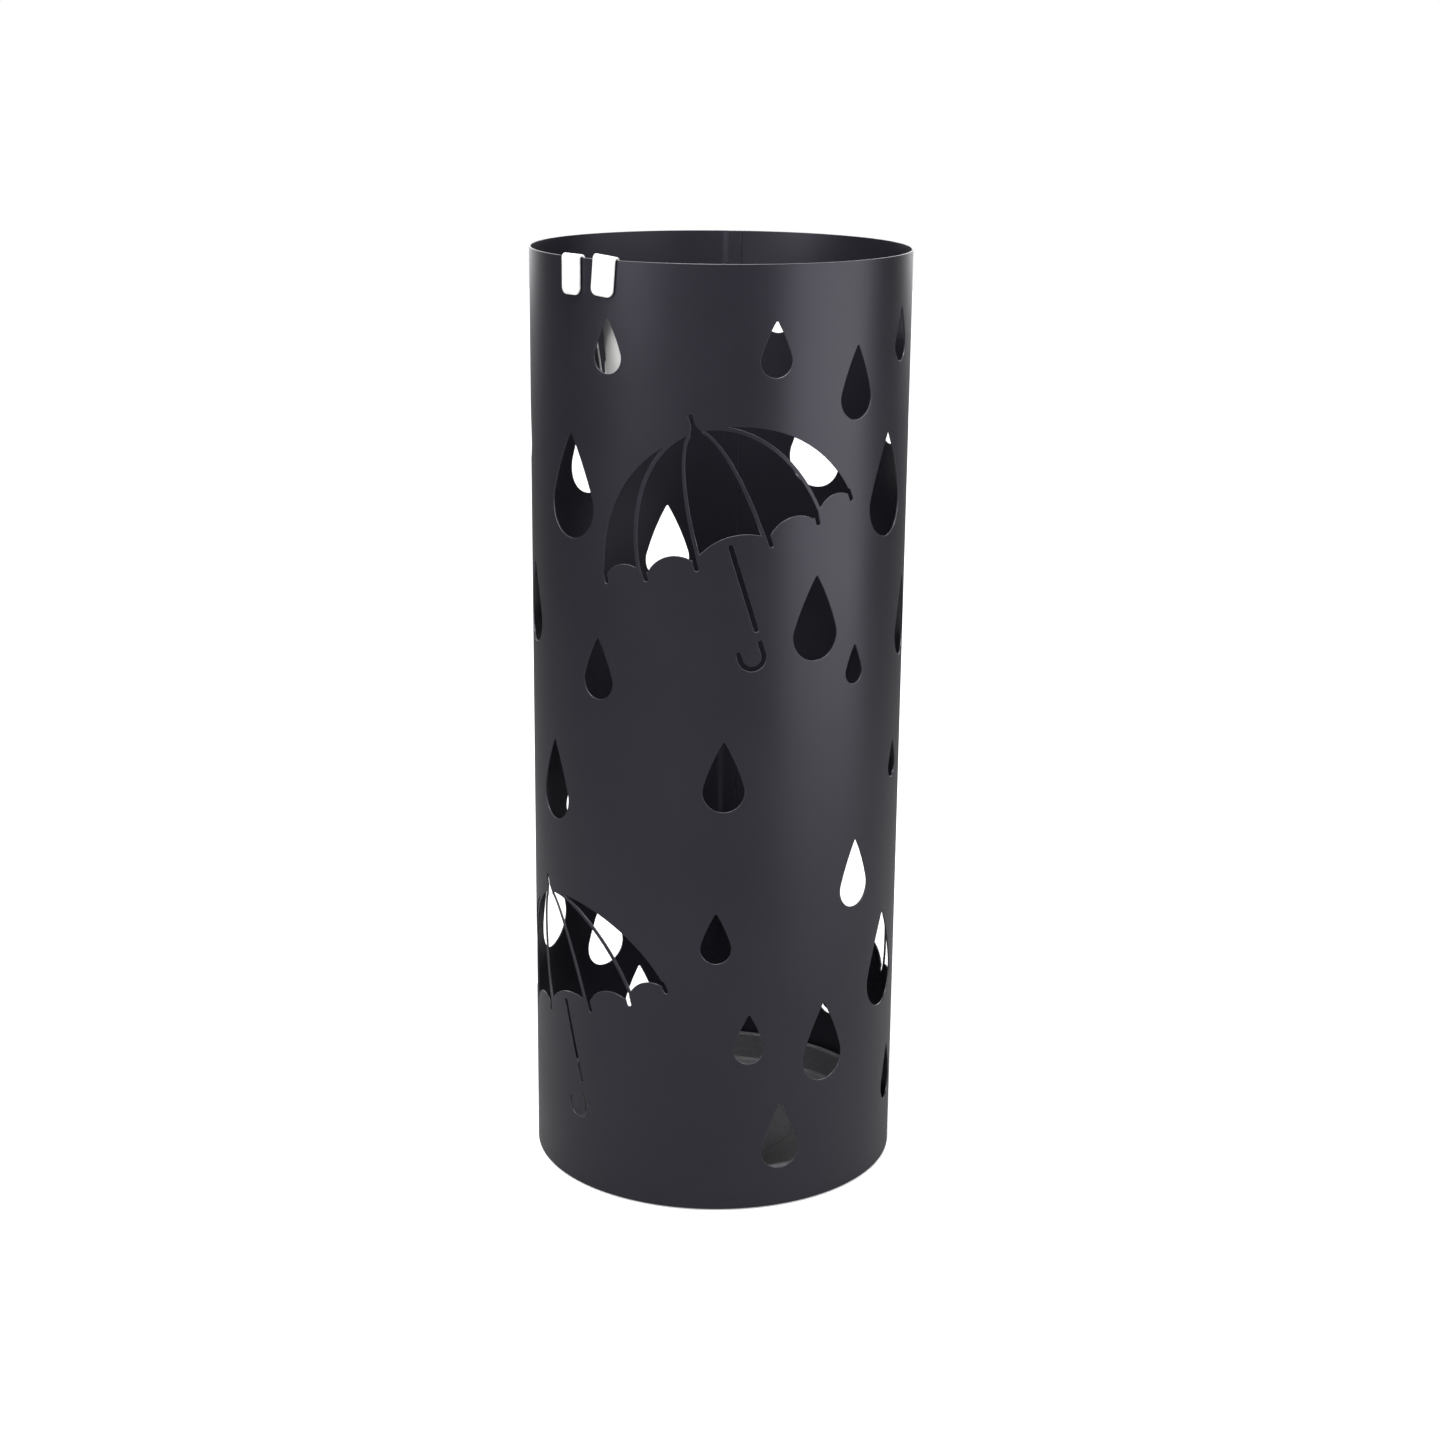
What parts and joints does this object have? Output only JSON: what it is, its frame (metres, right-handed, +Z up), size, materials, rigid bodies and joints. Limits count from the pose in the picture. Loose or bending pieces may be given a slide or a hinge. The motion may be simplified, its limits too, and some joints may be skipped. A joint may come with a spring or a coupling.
{
  "type": "umbrella stand",
  "caption": "Cylindrical sheet-steel umbrella stand with umbrella and raindrop cut-outs, lift-out drip tray and rim hooks.",
  "frame": {"origin": "centre of the circle on the floor under the tube, at the underside of the rubber feet", "axes": "+Z up along the tube's axis, -Y is the front with the whole umbrella cut-out, +X to the right seen from the front"},
  "size_m": [0.195, 0.195, 0.4926],
  "materials": {
    "powder_coat": "satin charcoal powder coat",
    "tray_plastic": "fine-textured moulded plastic",
    "white_lacquer": "glossy white lacquer",
    "foot_rubber": "matt black rubber"
  },
  "bodies": {
    "stand": {"wall": "powder_coat", "base_plate": "powder_coat", "foot_front_left": "foot_rubber", "foot_front_right": "foot_rubber", "foot_back_left": "foot_rubber", "foot_back_right": "foot_rubber"},
    "tray": {"drip_tray": "tray_plastic"},
    "left_hook": {"hook_left": "white_lacquer"},
    "right_hook": {"hook_right": "white_lacquer"}
  },
  "joints": [
    {"name": "tray_lift", "type": "slide", "parent": "stand", "child": "tray", "axis": [0, 0, 1], "range_m": [0, 0.4]},
    {"name": "left_hook_lift", "type": "slide", "parent": "stand", "child": "left_hook", "axis": [0, 0, 1], "range_m": [0, 0.09]},
    {"name": "right_hook_lift", "type": "slide", "parent": "stand", "child": "right_hook", "axis": [0, 0, 1], "range_m": [0, 0.09]}
  ]
}
